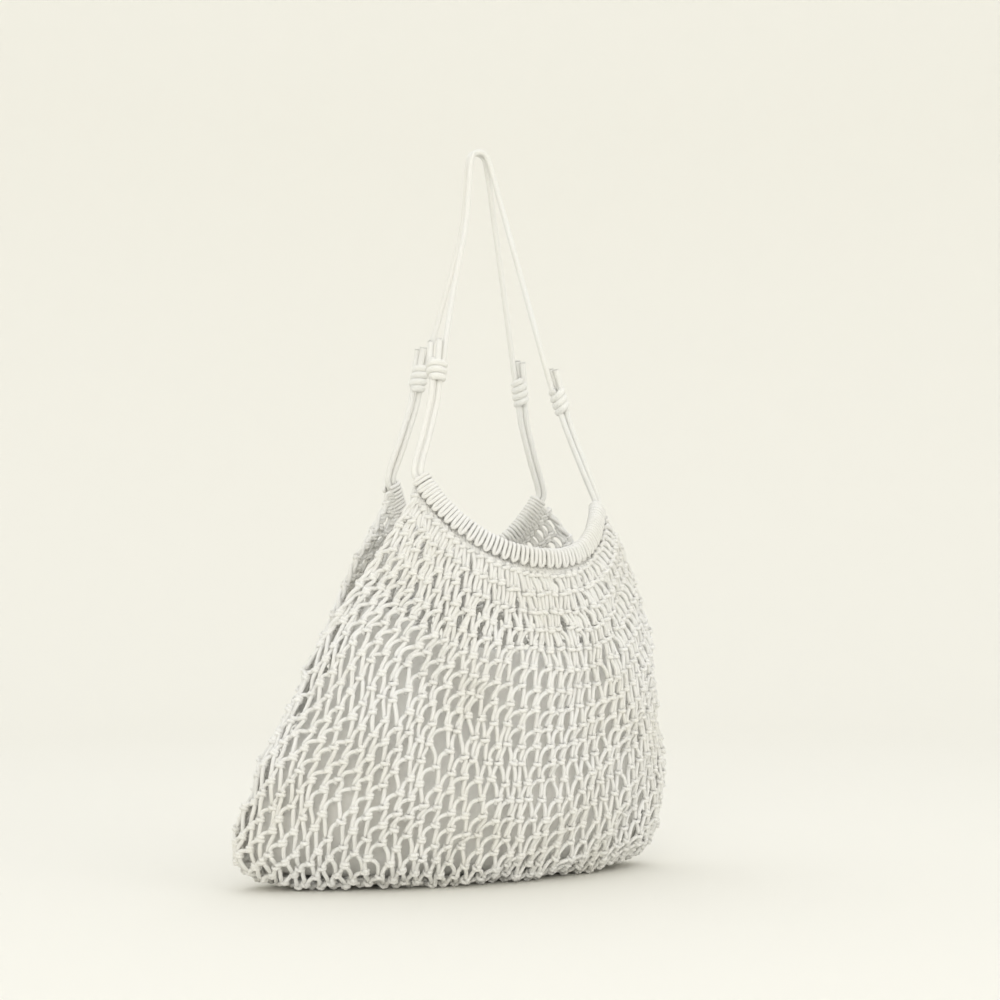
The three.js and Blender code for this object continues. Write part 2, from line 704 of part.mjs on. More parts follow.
add("net_body", netSolid(), COLOURS.net, 0.9);
add("inner_pouch", pouchSolid(), COLOURS.cloth, 0.95);
for (const [name, panel] of Object.entries(PANELS)) {
  add(`rim_${name}`, bandSolid(panel), COLOURS.band, 0.9);
  for (const order of [0, 1]) {
    const path = corePath(name, order);
    const g = facingOut(cord(path, CORE_CORD, 6, new THREE.Vector3(0, 1, 0)));
    add(`core_${name}_${order === 0 ? "upper" : "lower"}`, g, COLOURS.cord, 0.85);
  }
  const strap = facingOut(cord(strapPath(name), STRAP_CORD, 8, new THREE.Vector3(0, 1, 0)));
  add(`strap_${name}`, strap, COLOURS.cord, 0.85);
}
for (const k of STRAP_KNOTS) add(`knot_${k.name}`, knotSolid(k), COLOURS.knot, 0.9);

export default bag;
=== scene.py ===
"""The looks of a knotted string shopping bag that hangs by its two straps.

The sizes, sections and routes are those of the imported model. Lengths in the tables are millimetres,
and they turn into metres where a mesh is made.
"""

import math

import bpy
import numpy as np
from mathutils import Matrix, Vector


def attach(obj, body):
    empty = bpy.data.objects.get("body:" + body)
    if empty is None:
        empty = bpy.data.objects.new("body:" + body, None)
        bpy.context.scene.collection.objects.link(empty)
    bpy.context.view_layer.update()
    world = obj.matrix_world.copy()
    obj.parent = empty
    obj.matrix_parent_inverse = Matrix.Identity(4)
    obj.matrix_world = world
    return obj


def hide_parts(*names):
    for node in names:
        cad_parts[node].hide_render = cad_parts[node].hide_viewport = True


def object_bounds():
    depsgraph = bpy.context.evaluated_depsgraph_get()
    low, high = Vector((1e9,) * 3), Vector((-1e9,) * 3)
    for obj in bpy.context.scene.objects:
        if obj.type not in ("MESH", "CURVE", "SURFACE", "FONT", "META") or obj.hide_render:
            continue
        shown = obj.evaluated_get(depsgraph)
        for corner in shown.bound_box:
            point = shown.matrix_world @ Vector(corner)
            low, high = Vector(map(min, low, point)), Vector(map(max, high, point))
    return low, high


bl_info = {
    "name": "String shopping bag",
    "version": (1, 0, 0),
    "blender": (4, 5, 0),
    "location": "View3D > Sidebar > String bag",
    "description": "Builds a knotted string shopping bag round its packed frame",
    "category": "Object",
}

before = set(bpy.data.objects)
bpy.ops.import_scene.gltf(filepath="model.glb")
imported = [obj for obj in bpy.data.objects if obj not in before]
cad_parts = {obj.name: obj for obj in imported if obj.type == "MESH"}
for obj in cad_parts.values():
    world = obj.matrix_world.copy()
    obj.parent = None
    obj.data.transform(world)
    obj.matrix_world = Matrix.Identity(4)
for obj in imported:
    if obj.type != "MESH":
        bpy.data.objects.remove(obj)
CAD_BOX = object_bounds()

MM = 0.001
SEED = 11

# The bag's sizes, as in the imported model
HANG_HEIGHT = 652.0
BAG_WIDTH = 408.0
BAG_DEPTH = 170.0
GAP = 0.3
STRAP_CORD = 5.0
CORE_CORD = 5.2
CORE_PITCH = 5.7
LEG_PITCH = 6.4
WRAP_CORD = 3.2
PEG_RADIUS = 6.0
STRAP_SPREAD = 3.0
NET_BASE = 4.0
BAND_REACH = 0.97
CORE_CLEAR = CORE_CORD / 2 + 1.5 * GAP
BAND_HALF = CORE_PITCH / 2 + CORE_CLEAR + WRAP_CORD
SOCKET_DEPTH = 6.0

# The braid of the thick cords: strands round the cord in each direction, and mm along it for each
BRAID_STRANDS = 6
BRAID_PITCH = 2.2

# Bag sections from the rim (t 0) to the bottom seam (t 1).
# down: share of the edge height. shiftX, half: shares of the bag width.
# shiftY, front, back: shares of the bag depth. power: roundness. twist: degrees.
SECTION_COLUMNS = ("t", "down", "shiftX", "shiftY", "half", "front", "back", "power", "twist")
SECTIONS = (
    (0.0, 0.0, 0.03, 0.0, 0.257, 0.42, 0.27, 2.0, 10),
    (0.12, 0.14, 0.05, 0.0, 0.324, 0.44, 0.35, 2.0, 9),
    (0.25, 0.28, 0.05, 0.0, 0.377, 0.47, 0.43, 1.95, 8),
    (0.37, 0.42, 0.038, 0.01, 0.416, 0.49, 0.47, 1.9, 6),
    (0.51, 0.58, 0.015, 0.02, 0.455, 0.5, 0.48, 1.85, 4),
    (0.65, 0.74, -0.01, 0.04, 0.49, 0.5, 0.48, 1.75, 2),
    (0.78, 0.89, -0.033, 0.07, 0.5, 0.46, 0.44, 1.65, 0),
    (0.88, 0.975, -0.04, 0.09, 0.482, 0.32, 0.3, 1.6, 0),
    (1.0, 1.0, -0.045, 0.1, 0.45, 0.02, 0.02, 1.6, 0),
)

# The mouth's two panels: side -1 is the front, +1 the back. left, right: heights of the peaks.
# slit_left, slit_right: how far round each peak stands, degrees.
PANELS = {
    "front": {"side": -1, "left": 349, "right": 333, "slit_left": 29, "slit_right": 31},
    "back": {"side": 1, "left": 347, "right": 343, "slit_left": 40, "slit_right": 45},
}
MOUTH_DIP = 57.0
MOUTH_DIP_POWER = 2.2
MOUTH_DIP_FADE = 0.8
CORNER_LIFT = 22.0
SLIT_SHARE = 0.34

# Strap knots: the end of the panel they bind, centre, width, depth and height
STRAP_KNOTS = {
    "front_left": {"panel": "front", "end": -1, "at": (-56, -32, -208), "size": (19, 17, 24)},
    "front_right": {"panel": "front", "end": 1, "at": (75, -16.5, -224.5), "size": (15.5, 17, 28)},
    "back_left": {"panel": "back", "end": -1, "at": (-53, 14, -210), "size": (16, 17, 26)},
    "back_right": {"panel": "back", "end": 1, "at": (60, 33, -212), "size": (15.5, 17, 29)},
}

# Points each strap passes between its knots and the peg
STRAP_BOWS = {
    "front": {"left": [(-37, -21, -145), (-17, -9.5, -66)], "right": [(26, -7, -66)]},
    "back": {"left": [(-40, 9.5, -171), (-32, 8, -140), (-14, 4.5, -66)], "right": [(24, 13, -66)]},
}


# Shape of the bag's skin


def unit(v):
    """The vector, or each vector of an array, at length 1."""
    return v / np.maximum(np.linalg.norm(v, axis=-1, keepdims=True), 1e-9)


def dot(a, b):
    return (a * b).sum(-1, keepdims=True)


def between(key, t):
    """A smooth value between the rows of SECTIONS that never overshoots them."""
    rows = np.array(SECTIONS, float)
    at, value = rows[:, 0], rows[:, SECTION_COLUMNS.index(key)]
    slope = np.diff(value) / np.diff(at)
    tangent = np.concatenate((slope[:1], np.zeros(len(at) - 2), slope[-1:]))
    product = slope[:-1] * slope[1:]
    rising = product > 0
    tangent[1:-1][rising] = 2 * product[rising] / (slope[:-1] + slope[1:])[rising]
    i = np.clip(np.searchsorted(at, t, side="right") - 1, 0, len(at) - 2)
    h = at[i + 1] - at[i]
    s = np.clip((t - at[i]) / h, 0, 1)
    return (
        (1 + 2 * s) * (1 - s) ** 2 * value[i]
        + s * (1 - s) ** 2 * h * tangent[i]
        + s * s * (3 - 2 * s) * value[i + 1]
        + s * s * (s - 1) * h * tangent[i + 1]
    )


def skin(panel, p, t):
    """Points of the bag's skin. p runs from -1 at a panel's left edge to 1 at its right edge."""
    q, t = np.broadcast_arrays(np.clip(p, -1.0, 1.0), np.asarray(t, float))
    opened = np.maximum(0, 1 - t / SLIT_SHARE) ** 0.8
    start = np.radians(panel["slit_left"] * opened)
    end = np.pi - np.radians(panel["slit_right"] * opened)
    turn = start + (end - start) * (q + 1) / 2
    bend = 2 / between("power", t)
    deep = between("front" if panel["side"] < 0 else "back", t) * BAG_DEPTH
    x = -between("half", t) * BAG_WIDTH * np.sign(np.cos(turn)) * np.abs(np.cos(turn)) ** bend
    y = panel["side"] * deep * np.maximum(0, np.sin(turn)) ** bend
    twist = np.radians(between("twist", t))
    edge = panel["left"] + (panel["right"] - panel["left"]) * (q + 1) / 2
    dip = MOUTH_DIP * np.maximum(0, 1 - t) ** MOUTH_DIP_FADE * (1 - np.abs(q) ** MOUTH_DIP_POWER)
    lift = CORNER_LIFT * t**6 * q**4
    return np.stack(
        (
            x * np.cos(twist) - y * np.sin(twist) + between("shiftX", t) * BAG_WIDTH,
            x * np.sin(twist) + y * np.cos(twist) + between("shiftY", t) * BAG_DEPTH,
            edge * (1 - between("down", t)) - dip + lift + NET_BASE - HANG_HEIGHT,
        ),
        -1,
    )


def skin_frame(panel, p, t):
    """Directions of the skin at its points: along the panel, down it, and out of the bag."""
    e = 0.004
    p, t = np.broadcast_arrays(np.asarray(p, float), np.asarray(t, float))
    along = unit(skin(panel, np.minimum(1, p + e), t) - skin(panel, np.maximum(-1, p - e), t))
    down = unit(skin(panel, p, np.minimum(1, t + e)) - skin(panel, p, np.maximum(0, t - e)))
    out = unit(panel["side"] * np.cross(along, down))
    return along, down, out


def band_frame(panel, p):
    """The rim line at p, and the directions along it, down the band and out of the bag."""
    along, down, _ = skin_frame(panel, p, 0.0)
    across = unit(down - dot(down, along) * along)
    return skin(panel, p, 0.0), along, across, panel["side"] * np.cross(along, across)


# Routes of the cords


def route(points, steps):
    """A smooth line through points whose pace follows their distances, with steps samples between two."""
    points = np.asarray(points, float)
    ends = (2 * points[0] - points[1], 2 * points[-1] - points[-2])
    full = np.vstack((ends[0], points, ends[1]))
    out = []
    for a, b, c, d in zip(full, full[1:], full[2:], full[3:]):
        ab, bc, cd = (math.sqrt(np.linalg.norm(n - m)) for m, n in ((a, b), (b, c), (c, d)))
        at = ab + bc * np.arange(steps)[:, None] / steps

        def mix(m, n, low, high):
            return m + (n - m) * (at - low) / (high - low)

        first, middle, last = mix(a, b, 0, ab), mix(b, c, ab, ab + bc), mix(c, d, ab + bc, ab + bc + cd)
        out.append(mix(mix(first, middle, 0, ab + bc), mix(middle, last, ab, ab + bc + cd), ab, ab + bc))
    return np.vstack((*out, points[-1:]))


def evenly(line, spacing):
    """The same line with points at an even spacing."""
    reach = run_length(line, 0)
    at = np.linspace(0, reach[-1], max(2, round(reach[-1] / spacing) + 1))
    return np.stack([np.interp(at, reach, line[:, k]) for k in range(3)], -1)


def run_length(points, axis):
    """Lengths from the first point to each point, along one axis of an array of points."""
    steps = np.linalg.norm(np.diff(points, axis=axis), axis=-1)
    return np.concatenate((np.zeros_like(np.take(steps, [0], axis)), np.cumsum(steps, axis)), axis)


def length_of(line):
    return float(run_length(line, 0)[-1])


def knot_frame(knot):
    """A strap knot's centre, its axis from the bag's peak to the strap, and two directions across."""
    centre = np.array(knot["at"], float)
    peak = skin(PANELS[knot["panel"]], float(knot["end"]), 0.0)
    axis = unit(centre - peak)
    towards = unit(np.array((-knot["end"], 0, 0)) + knot["end"] * axis[0] * axis)
    return centre, axis, towards, np.cross(axis, towards)


def knot_of(panel_name, end):
    return next(k for k in STRAP_KNOTS.values() if k["panel"] == panel_name and k["end"] == end)


def strap_side(knot):
    """How far from its knot's axis a strap leaves, towards the middle of the bag."""
    return knot["size"][0] / 2 - STRAP_CORD / 2 - 1.6


def strap_end(knot, inside):
    centre, axis, towards, _ = knot_frame(knot)
    return centre + axis * (knot["size"][2] / 2 + inside) + towards * strap_side(knot)


def strap_route(panel_name):
    """A strap's middle line from its left knot over the peg to its right knot."""
    left, right = knot_of(panel_name, -1), knot_of(panel_name, 1)
    bend = PEG_RADIUS + STRAP_CORD / 2
    y = PANELS[panel_name]["side"] * STRAP_SPREAD
    turns = np.radians((165, 135, 105, 75, 45, 15))
    arch = [(math.cos(a) * bend, y, math.sin(a) * bend - PEG_RADIUS) for a in turns]
    bows = STRAP_BOWS[panel_name]
    ends_left = [strap_end(left, GAP - SOCKET_DEPTH), strap_end(left, 1)]
    ends_right = [strap_end(right, 1), strap_end(right, GAP - SOCKET_DEPTH)]
    return route([*ends_left, *bows["left"], *arch, *bows["right"], *ends_right], 8)


def core_route(panel_name, order):
    """A core cord's middle line: leg, band, leg. order 0 is the upper cord, 1 the lower one."""
    panel = PANELS[panel_name]
    sign = 0.5 if order == 0 else -0.5
    at, _, across, _ = band_frame(panel, np.linspace(-BAND_REACH, BAND_REACH, 57))
    middle = at + across * (BAND_HALF - sign * CORE_PITCH)

    def leg(end):
        knot = knot_of(panel_name, end)
        centre, axis, towards, _ = knot_frame(knot)
        rim, along, down, _ = band_frame(panel, end * BAND_REACH)
        foot = rim + down * BAND_HALF
        lead = foot + along * end * 7
        exit_at = centre - axis * knot["size"][2] / 2
        first, up = exit_at + axis * (SOCKET_DEPTH - GAP), exit_at - axis * 14
        line = route([first, exit_at, up, (up + lead) / 2, lead, foot], 8)
        share = np.clip((np.arange(len(line)) - 8) / (len(line) - 13), 0, 1)[:, None]
        ahead = unit(np.gradient(line, axis=0))
        spread = towards * (1 - share) - down * share
        spread = unit(spread - dot(spread, ahead) * ahead)
        pitch = LEG_PITCH + (CORE_PITCH - LEG_PITCH) * share
        return (line + spread * sign * pitch)[:-1]

    return np.vstack((leg(-1), middle, leg(1)[::-1]))


# Meshes


def carried(lines, first):
    """Directions ahead, to the side and up along lines (n, k, 3), carried without twisting."""
    ahead = unit(np.gradient(lines, axis=1))
    side = np.empty_like(lines)
    last = np.broadcast_to(first, lines[:, 0].shape)
    for i in range(lines.shape[1]):
        last = unit(last - dot(last, ahead[:, i]) * ahead[:, i])
        side[:, i] = last
    return ahead, side, np.cross(ahead, side)


def quad_cap(sides):
    return np.array([(i, i + 1, sides - 2 - i, sides - 1 - i) for i in range(sides // 2 - 1)])


def cords(lines, width, sides, first, relief=None, taper=None):
    """Round cords along lines (n, k, 3): points, faces, and a map of (mm along, turns round).

    relief(along, turn) gives how far the surface stands out, in mm, for arrays of its two inputs.
    """
    n, k, _ = lines.shape
    _, side, up = carried(lines, first)
    steps = np.linalg.norm(np.diff(lines, axis=1), axis=2)
    along = np.concatenate((np.zeros((n, 1)), np.cumsum(steps, axis=1)), axis=1)
    turn = np.arange(sides) / sides
    radius = np.full((n, k, sides), width / 2)
    if taper is not None:
        radius = radius * np.broadcast_to(taper, (n, k))[..., None]
    if relief is not None:
        radius = radius + relief(along[..., None], turn[None, None, :])
    angle = 2 * np.pi * turn
    spokes = side[:, :, None] * np.cos(angle)[:, None] + up[:, :, None] * np.sin(angle)[:, None]
    points = (lines[:, :, None] + spokes * radius[..., None]).reshape(-1, 3)
    start = (np.arange(n)[:, None, None] * k + np.arange(k - 1)[:, None]) * sides
    s = np.arange(sides)
    t = (s + 1) % sides
    wall = np.stack((start + s, start + t, start + sides + t, start + sides + s), -1).reshape(-1, 4)
    a0 = np.broadcast_to(along[:, :-1, None], (n, k - 1, sides))
    a1 = np.broadcast_to(along[:, 1:, None], (n, k - 1, sides))
    v0 = np.broadcast_to(s / sides, (n, k - 1, sides))
    v1 = v0 + 1 / sides
    wall_map = np.stack((a0, v0, a0, v1, a1, v1, a1, v0), -1).reshape(-1, 4, 2)
    cap = quad_cap(sides)
    base = (np.arange(n) * k * sides)[:, None, None]
    far_caps = (base + (k - 1) * sides + cap).reshape(-1, 4)
    caps = np.concatenate(((base + cap[:, ::-1]).reshape(-1, 4), far_caps))
    cap_map = np.zeros((len(caps), 4, 2))
    return points, np.concatenate((wall, caps)), np.concatenate((wall_map, cap_map))


def piece(name, parts, material, replaces=()):
    """One mesh piece of the bag from parts of (points in mm, faces, map), riding on the frame."""
    count = 0
    points, faces, maps = [], [], []
    for p, f, m in parts:
        points.append(p)
        faces.append(f + count)
        maps.append(m)
        count += len(p)
    points, faces, maps = np.concatenate(points), np.concatenate(faces), np.concatenate(maps)
    mesh = bpy.data.meshes.new(name)
    mesh.vertices.add(len(points))
    mesh.vertices.foreach_set("co", (points * MM).astype(np.float32).ravel())
    mesh.loops.add(faces.size)
    mesh.loops.foreach_set("vertex_index", faces.astype(np.int32).ravel())
    mesh.polygons.add(len(faces))
    mesh.polygons.foreach_set("loop_start", np.arange(0, faces.size, 4, dtype=np.int32))
    mesh.polygons.foreach_set("use_smooth", np.ones(len(faces), bool))
    mesh.update(calc_edges=True)
    layer = mesh.uv_layers.new(name="CordMap")
    layer.uv.foreach_set("vector", maps.astype(np.float32).ravel())
    mesh.materials.append(material)
    obj = bpy.data.objects.new(name, mesh)
    bpy.context.scene.collection.objects.link(obj)
    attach(obj, "root")
    if replaces:
        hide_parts(*replaces)
    return obj


def braid(depth):
    """Relief of a round braid: strands cross in two directions, over and under in turn."""

    def relief(along, turn):
        a = turn * BRAID_STRANDS + along / BRAID_PITCH
        b = turn * BRAID_STRANDS - along / BRAID_PITCH
        over = (np.floor(a) + np.floor(b)) % 2 == 0
        across = np.where(over, a % 1, b % 1)
        length = np.where(over, b % 1, a % 1)
        return depth * ((1 - (2 * across - 1) ** 2) * (0.55 + 0.45 * np.sin(np.pi * length)) - 0.5)

    return relief


# Materials


def linear(text):
    """An sRGB hex colour as linear red, green, blue and alpha."""
    values = [int(text[i : i + 2], 16) / 255 for i in (1, 3, 5)]
    return (*(v / 12.92 if v <= 0.04045 else ((v + 0.055) / 1.055) ** 2.4 for v in values), 1.0)


def node(tree, kind, links=None, **settings):
    """Adds a node. links: {input: a value, or (node, output)}; settings are the node's own fields."""
    made = tree.nodes.new(kind)
    for key, value in settings.items():
        setattr(made, key, value)
    for key, value in (links or {}).items():
        if isinstance(value, tuple) and len(value) == 2 and isinstance(value[0], bpy.types.Node):
            tree.links.new(value[0].outputs[value[1]], made.inputs[key])
        else:
            made.inputs[key].default_value = value
    return made


def new_material(name):
    material = bpy.data.materials.new(name)
    material.use_nodes = True
    material.node_tree.nodes.clear()
    return material, material.node_tree


def cord_material(name, colour, shade, pitch, strands, bump):
    """Braided cotton cord, bleached and unwaxed: matte and a little fuzzy, with crossing strands.

    Painted shade darkens the base colour in the grooves between the strands, and fine fibre bumps keep it
    from looking like plastic.
    pitch is the length of one strand's crossing in mm, strands their number round the cord.
    """
    material, tree = new_material(name)
    uv = node(tree, "ShaderNodeUVMap", uv_map="CordMap")
    parts = node(tree, "ShaderNodeSeparateXYZ", {0: (uv, 0)})
    along = node(tree, "ShaderNodeMath", {0: (parts, 0), 1: pitch}, operation="DIVIDE")
    turn = node(tree, "ShaderNodeMath", {0: (parts, 1), 1: float(strands)}, operation="MULTIPLY")
    right = node(tree, "ShaderNodeMath", {0: (turn, 0), 1: (along, 0)}, operation="ADD")
    left = node(tree, "ShaderNodeMath", {0: (turn, 0), 1: (along, 0)}, operation="SUBTRACT")
    right_cell = node(tree, "ShaderNodeMath", {0: (right, 0)}, operation="FLOOR")
    left_cell = node(tree, "ShaderNodeMath", {0: (left, 0)}, operation="FLOOR")
    cells = node(tree, "ShaderNodeMath", {0: (right_cell, 0), 1: (left_cell, 0)}, operation="ADD")
    odd = node(tree, "ShaderNodeMath", {0: (cells, 0), 1: 2.0}, operation="FLOORED_MODULO")
    right_part = node(tree, "ShaderNodeMath", {0: (right, 0)}, operation="FRACT")
    left_part = node(tree, "ShaderNodeMath", {0: (left, 0)}, operation="FRACT")
    parts_across = {0: (odd, 0), 2: (right_part, 0), 3: (left_part, 0)}
    across = node(tree, "ShaderNodeMix", parts_across, data_type="FLOAT")
    centred = node(tree, "ShaderNodeMath", {0: (across, 0), 1: 2.0, 2: -1.0}, operation="MULTIPLY_ADD")
    squared = node(tree, "ShaderNodeMath", {0: (centred, 0), 1: (centred, 0)}, operation="MULTIPLY")
    strand = node(tree, "ShaderNodeMath", {0: 1.0, 1: (squared, 0)}, operation="SUBTRACT")
    where = node(tree, "ShaderNodeTexCoord")
    fuzz = node(tree, "ShaderNodeTexNoise", {"Vector": (where, 3), "Scale": 900.0, "Detail": 3.0})
    soil = node(tree, "ShaderNodeTexNoise", {"Vector": (where, 3), "Scale": 14.0, "Detail": 3.0})
    height = node(tree, "ShaderNodeMath", {0: (fuzz, 0), 1: 0.5, 2: (strand, 0)}, operation="MULTIPLY_ADD")
    # Painted shade: the colour falls to 0.84 in the grooves between strands, where shade would fall
    painted_groove_shade = node(tree, "ShaderNodeMapRange", {0: (strand, 0), 1: 0.0, 2: 0.65, 3: 0.84, 4: 1.0})
    patch = node(tree, "ShaderNodeMapRange", {0: (soil, 0), 1: 0.35, 2: 0.7})
    tint = node(tree, "ShaderNodeMix", {0: (patch, 0), 6: colour, 7: shade}, data_type="RGBA")
    tint_with_painted_shade = node(tree, "ShaderNodeVectorMath", {0: (tint, 2), 1: (painted_groove_shade, 0)}, operation="MULTIPLY")
    raised = node(tree, "ShaderNodeBump", {"Height": (height, 0), "Strength": bump, "Distance": 0.0004})
    settings = {
        "Base Color": (tint_with_painted_shade, 0),
        "Roughness": 0.88,
        "Specular IOR Level": 0.25,
        "Sheen Weight": 0.25,
        "Sheen Roughness": 0.6,
        "Normal": (raised, 0),
    }
    shader = node(tree, "ShaderNodeBsdfPrincipled", settings)
    node(tree, "ShaderNodeOutputMaterial", {0: (shader, 0)})
    return material


def cloth_material(name, colour, shade):
    """Calico, unbleached plain-woven cotton: matte, with small slubs.

    Its real threads stand 0.5 mm apart, finer than a pixel of the render, so they are drawn 1 mm apart.
    """
    material, tree = new_material(name)
    where = node(tree, "ShaderNodeTexCoord")
    uv = node(tree, "ShaderNodeUVMap", uv_map="CordMap")
    parts = node(tree, "ShaderNodeSeparateXYZ", {0: (uv, 0)})
    warp_turn = node(tree, "ShaderNodeMath", {0: (parts, 0), 1: math.pi}, operation="MULTIPLY")
    weft_turn = node(tree, "ShaderNodeMath", {0: (parts, 1), 1: math.pi}, operation="MULTIPLY")
    warp = node(tree, "ShaderNodeMath", {0: (warp_turn, 0)}, operation="SINE")
    weft = node(tree, "ShaderNodeMath", {0: (weft_turn, 0)}, operation="SINE")
    weave = node(tree, "ShaderNodeMath", {0: (warp, 0), 1: (weft, 0)}, operation="MULTIPLY")
    slub = node(tree, "ShaderNodeTexNoise", {"Vector": (where, 3), "Scale": 260.0, "Detail": 4.0})
    soil = node(tree, "ShaderNodeTexNoise", {"Vector": (where, 3), "Scale": 9.0, "Detail": 3.0})
    height = node(tree, "ShaderNodeMath", {0: (slub, 0), 1: 1.2, 2: (weave, 0)}, operation="MULTIPLY_ADD")
    patch = node(tree, "ShaderNodeMapRange", {0: (soil, 0), 1: 0.35, 2: 0.7})
    tint = node(tree, "ShaderNodeMix", {0: (patch, 0), 6: colour, 7: shade}, data_type="RGBA")
    raised = node(tree, "ShaderNodeBump", {"Height": (height, 0), "Strength": 0.5, "Distance": 0.0003})
    settings = {
        "Base Color": (tint, 2),
        "Roughness": 0.92,
        "Specular IOR Level": 0.2,
        "Sheen Weight": 0.2,
        "Sheen Roughness": 0.6,
        "Normal": (raised, 0),
    }
    shader = node(tree, "ShaderNodeBsdfPrincipled", settings)
    node(tree, "ShaderNodeOutputMaterial", {0: (shader, 0)})
    return material


def paper_material(name, colour):
    """Background paper: plain and matte, with a very faint grain."""
    material, tree = new_material(name)
    where = node(tree, "ShaderNodeTexCoord")
    grain = node(tree, "ShaderNodeTexNoise", {"Vector": (where, 3), "Scale": 700.0, "Detail": 2.0})
    raised = node(tree, "ShaderNodeBump", {"Height": (grain, 0), "Strength": 0.05, "Distance": 0.0002})
    settings = {"Base Color": colour, "Roughness": 0.9, "Specular IOR Level": 0.2, "Normal": (raised, 0)}
    shader = node(tree, "ShaderNodeBsdfPrincipled", settings)
    node(tree, "ShaderNodeOutputMaterial", {0: (shader, 0)})
    return material


def made_once(name, make, *values):
    return bpy.data.materials.get(name) or make(name, *values)


def net_cord_material():
    colours = bpy.context.scene.bag_colours
    values = (tuple(colours.net_cord), tuple(colours.net_shade), 1.5, 4, 0.6)
    return made_once("cotton_net_cord", cord_material, *values)


def strap_cord_material():
    colours = bpy.context.scene.bag_colours
    values = (tuple(colours.strap_cord), tuple(colours.net_shade), BRAID_PITCH, BRAID_STRANDS, 0.5)
    return made_once("cotton_strap_cord", cord_material, *values)


# Sizes and colours


def colour_property(name, text, description):
    return bpy.props.FloatVectorProperty(
        name=name, description=description, subtype="COLOR", size=4, min=0, max=1, default=linear(text)
    )


def length_property(name, millimetres, description):
    return bpy.props.FloatProperty(
        name=name, description=description, default=millimetres * MM, min=0, subtype="DISTANCE", unit="LENGTH"
    )


class BagSizes(bpy.types.PropertyGroup):
    """Sizes that can be changed without a new frame"""

    net_columns: bpy.props.IntProperty(
        name="Net columns", description="Knots side by side in a row of one panel", default=36, min=6, max=44
    )
    net_rows: bpy.props.IntProperty(
        name="Net rows", description="Rows of knots from the rim to the seam", default=24, min=4, max=30
    )
    net_cord: length_property("Net cord", 3.7, "Width of the cord that the net is knotted from")
    knot_width: length_property("Knot width", 5.5, "Width of a net knot between its cord's middle lines")
    knot_height: length_property("Knot height", 4.6, "Height of a net knot between its cord's middle lines")
    rim_cord: length_property("Rim loop cord", 3.5, "Width of the cord of the loops round the rim")
    rim_pitch: length_property("Rim loop pitch", 7.7, "Length of rim that one loop, a pair of ribs, covers")
    strap_wrap: length_property("Strap knot cord", 6.4, "Width of the cord wound round the strap knots")
    unevenness: length_property("Unevenness", 1.1, "How far net knots stray from an even lattice")


class BagColours(bpy.types.PropertyGroup):
    """Colours of the cords, the cloth and the studio paper."""

    strap_cord: colour_property("Strap cord", "#ecece9", "White of the straps, rim cords and strap knots")
    net_cord: colour_property("Net cord", "#f1f0ed", "Warm white of the net")
    net_shade: colour_property("Net shade", "#eceae3", "Slightly yellower patches of the cords")
    cloth: colour_property("Pouch cloth", "#fbfaf6", "Unbleached cotton of the inner pouch")
    cloth_shade: colour_property("Cloth shade", "#f7f5ef", "Darker patches of the pouch cloth")
    paper: colour_property("Paper", "#eeece4", "Pale paper of the floor and backdrop")


# The net

# Millimetres: how far under the rim the first knots are, how far the lattice drifts, how wide a pair
# of edge cords is, how deep the valley is, and how high the lowest knots stand above the model's foot
NET_FIRST = 25.0
WANDER = 2.2
EDGE_PAIR = 3.4
VALLEY_DEPTH = 8.0
LOWEST_KNOT = 3.6
# Pace of the rows in the middle: a share that fades towards the seam, and a share that stays
PACE_FADING = 0.9375
PACE_STEADY = 0.25
# Sides of a net cord's section, and steps along a bar and round a knot
NET_SIDES = 8
BAR_STEPS = 6
KNOT_STEPS = 12


def valley(panel, p, t):
    """A soft valley that runs from the front's left peak down to the middle, from 0 to 1."""
    if panel["side"] > 0:
        return np.zeros(np.broadcast(p, t).shape)
    middle = -0.2 - 0.75 * np.clip((0.5 - t) / 0.3, 0, 1) ** 1.6
    strength = np.sin(np.pi * np.clip((t - 0.14) / 0.5, 0, 1)) ** 0.8
    return np.exp(-(((p - middle) / 0.13) ** 2)) * strength


def wander(rng, at, reach):
    """Slow random drift at points in mm, of about 1 in size, with waves of about reach mm."""
    total = np.zeros(at.shape)
    for _ in range(7):
        wave = rng.normal(0, 1, 3)
        wave *= 2 * np.pi / (reach * rng.uniform(0.6, 1.5) * np.linalg.norm(wave))
        total += rng.normal(0, 1, 3) * np.cos(at @ wave + rng.uniform(0, 6.28))[:, None]
    return total / 7**0.5 * 1.4


def hang_frame(panel, p, t):
    """Directions at the skin for a cord that hangs: down, along the panel and out of the bag."""
    along, down, out = skin_frame(panel, p, np.minimum(t, 0.985))
    fall = np.array((0, 0, -1.0))
    hang = unit(0.35 * down + fall - dot(out, fall) * out)
    along = unit(along - dot(along, hang) * hang)
    return hang, along, np.cross(hang, along) * -panel["side"]


